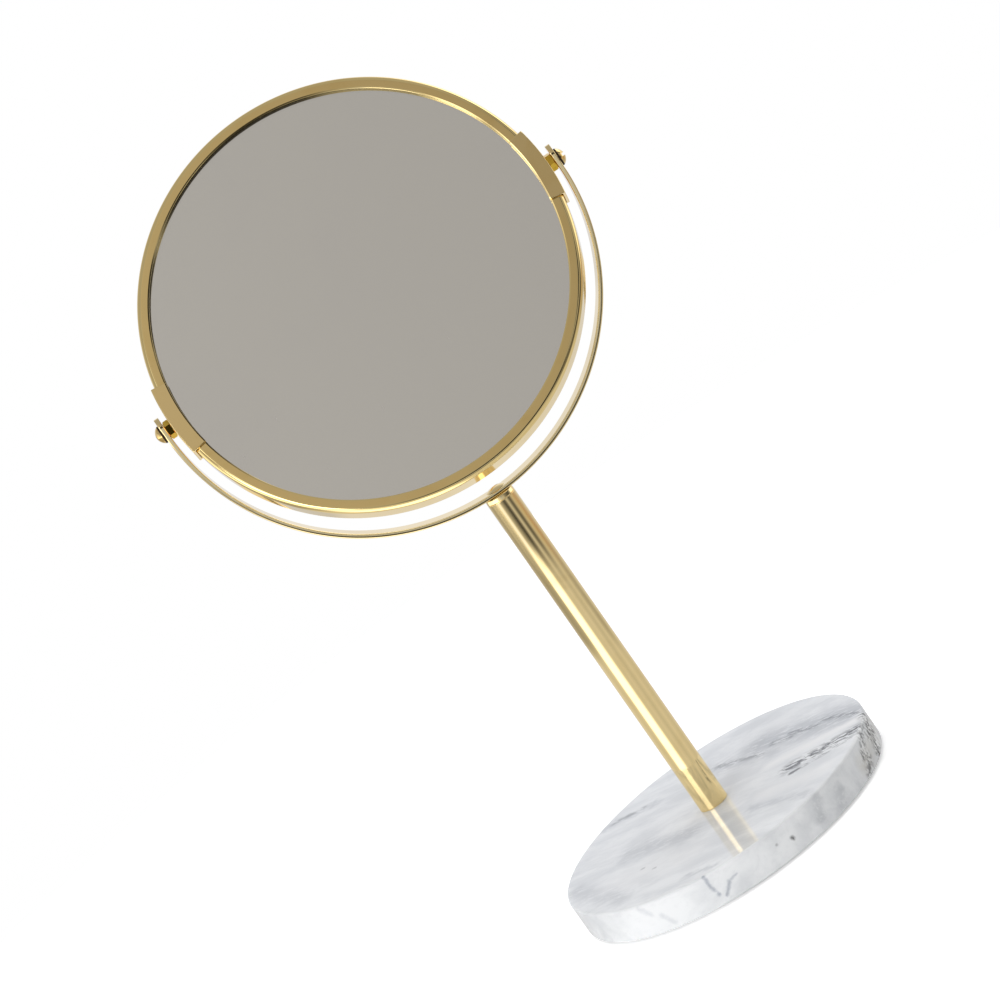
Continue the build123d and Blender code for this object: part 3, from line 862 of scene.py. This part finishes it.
# saddle clips over the seams, and the pivots through them
pivotSizes = {
    "clip": {"outer": 91.6, "lip": 84.8, "halfDepth": 7.3025, "sheet": 1.2, "edgeRound": 0.5, "outerDrop": 0.3, "lipRound": 0.15,
             "bevelWidth": 0.6, "bevelDepth": 0.2, "underWidth": 0.75, "underDepth": 0.25, "halfAngle": 10.0, "endRound": 0.45,
             "steps": 24, "smooth": 13, "bore": 2.05, "boreSteps": 32},
    "nut": {"flats": 7.0, "thickness": 2.6, "bore": 2.05, "chamfer": 0.1, "chamferAngle": 30.0, "steps": 96, "smooth": 20},
    "washer": {"radius": 3.9, "bore": 2.05, "thickness": 0.8, "edgeRound": 0.25, "steps": 64},
    "screw": {"headRadius": 3.8, "headHeight": 2.3, "shankRadius": 2.0, "length": 7.6, "slotWidth": 1.2, "slotDepth": 1.2},
    "slotAngle": {"left": -18.0, "right": 108.5},
    "nutAngle": {"left": -20.0, "right": 0.0},
    "nutStation": 91.6,
    "washerStation": 96.3,
    "screwStation": 97.1,
}


def onPivot(bm, side, station):
    sign = 1 if side == "right" else -1
    place = headLean @ Matrix.Translation((sign * station * mm, 0, 0)) @ Matrix.Rotation(math.radians(90 * sign), 4, "Y")
    bmesh.ops.transform(bm, matrix=place, verts=bm.verts[:])


def boreClip(bm, size):
    # the wall's middle facets become one face on each side, which takes the hole for the pivot screw
    middle = [edge for edge in bm.edges if edge.calc_length() > size["halfDepth"] * mm
              and max(abs(vert.co.y) for vert in edge.verts) < size["bore"] * mm]
    bmesh.ops.dissolve_edges(bm, edges=middle)
    walls = [face for face in bm.faces if len(face.verts) > 6 and abs(face.normal.x) > 0.99]
    cutHole(bm, walls, sideways, size["bore"], size["boreSteps"])
    bmesh.ops.recalc_face_normals(bm, faces=bm.faces[:])


def buildClip(side, size):
    bm = bmesh.new()
    drawChannel(bm, size["outer"], size["lip"], size)
    spinPart(bm, -size["halfAngle"] + (0 if side == "right" else 180), 2 * size["halfAngle"], size["steps"])
    ends = [edge for edge in bm.edges if len(edge.link_faces) == 2 and max(len(face.verts) for face in edge.link_faces) > 4]
    softenEdges(bm, ends, size["endRound"], 4)
    boreClip(bm, size)
    bmesh.ops.transform(bm, matrix=headFace, verts=bm.verts[:])
    addPiece("pivotClip." + side, bm, "head", [brass["clipBrass"]], "pivot_clip_" + side, size["smooth"])


def buildNut(side, size):
    # a chamfered round blank with six flats cut on it
    bm = bmesh.new()
    corner = size["flats"] / 2 / math.cos(math.radians(30))
    flat = size["flats"] / 2 - size["chamfer"]
    drop = (corner - flat) * math.tan(math.radians(size["chamferAngle"]))
    drawProfile(bm, [(size["bore"], 0), (flat, 0), (corner, drop), (corner, size["thickness"] - drop),
                     (flat, size["thickness"]), (size["bore"], size["thickness"])])
    spinRound(bm, size["steps"])
    for number in range(6):
        angle = math.radians(30 + 60 * number + pivotSizes["nutAngle"][side])
        out = Matrix.Rotation(angle, 3, "Z") @ Vector((1, 0, 0))
        cut = bmesh.ops.bisect_plane(bm, geom=everything(bm), dist=1e-7, plane_co=out * size["flats"] * mm / 2,
                                     plane_no=out, clear_outer=True)
        bmesh.ops.edgeloop_fill(bm, edges=pick(cut["geom_cut"], bmesh.types.BMEdge))
    closeUp(bm)
    onPivot(bm, side, pivotSizes["nutStation"])
    addPiece("pivotNut." + side, bm, "head", [brass["nutBrass"]], "pivot_nut_" + side, size["smooth"])


def buildWasher(side, size):
    bm = bmesh.new()
    corners = drawProfile(bm, [
        (size["bore"], 0), (size["radius"], 0), (size["radius"], size["thickness"]), (size["bore"], size["thickness"])])
    roundCorners(bm, corners[1:3], size["edgeRound"], 3)
    spinRound(bm, size["steps"])
    onPivot(bm, side, pivotSizes["washerStation"])
    addPiece("pivotWasher." + side, bm, "head", [plain["blackNylon"]], "pivot_washer_" + side)


def buildPivotScrew(side, size):
    bm = domedScrew({**size, "slotAngle": pivotSizes["slotAngle"][side]})
    onPivot(bm, side, pivotSizes["screwStation"])
    addPiece("pivotScrew." + side, bm, "head", [brass["screwBrass"]], "pivot_screw_" + side, screwSteps["smooth"])


for side in ("left", "right"):
    buildClip(side, pivotSizes["clip"])
    buildNut(side, pivotSizes["nut"])
    buildWasher(side, pivotSizes["washer"])
    buildPivotScrew(side, pivotSizes["screw"])
print("pivots built")


# pieces that stay as they come from the frame, with their finishes
keptNodes = {"base_bolt": plain["zincSteel"], "base_washer": plain["zincSteel"], "base_spring_washer": plain["zincSteel"],
             "stem_foot_insert": brass["polishedBrass"], "mirror_spacer": plain["greyBoard"]}
for node, material in keptNodes.items():
    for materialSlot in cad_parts[node].material_slots:
        materialSlot.material = material
print("kept nodes finished:", len(keptNodes))
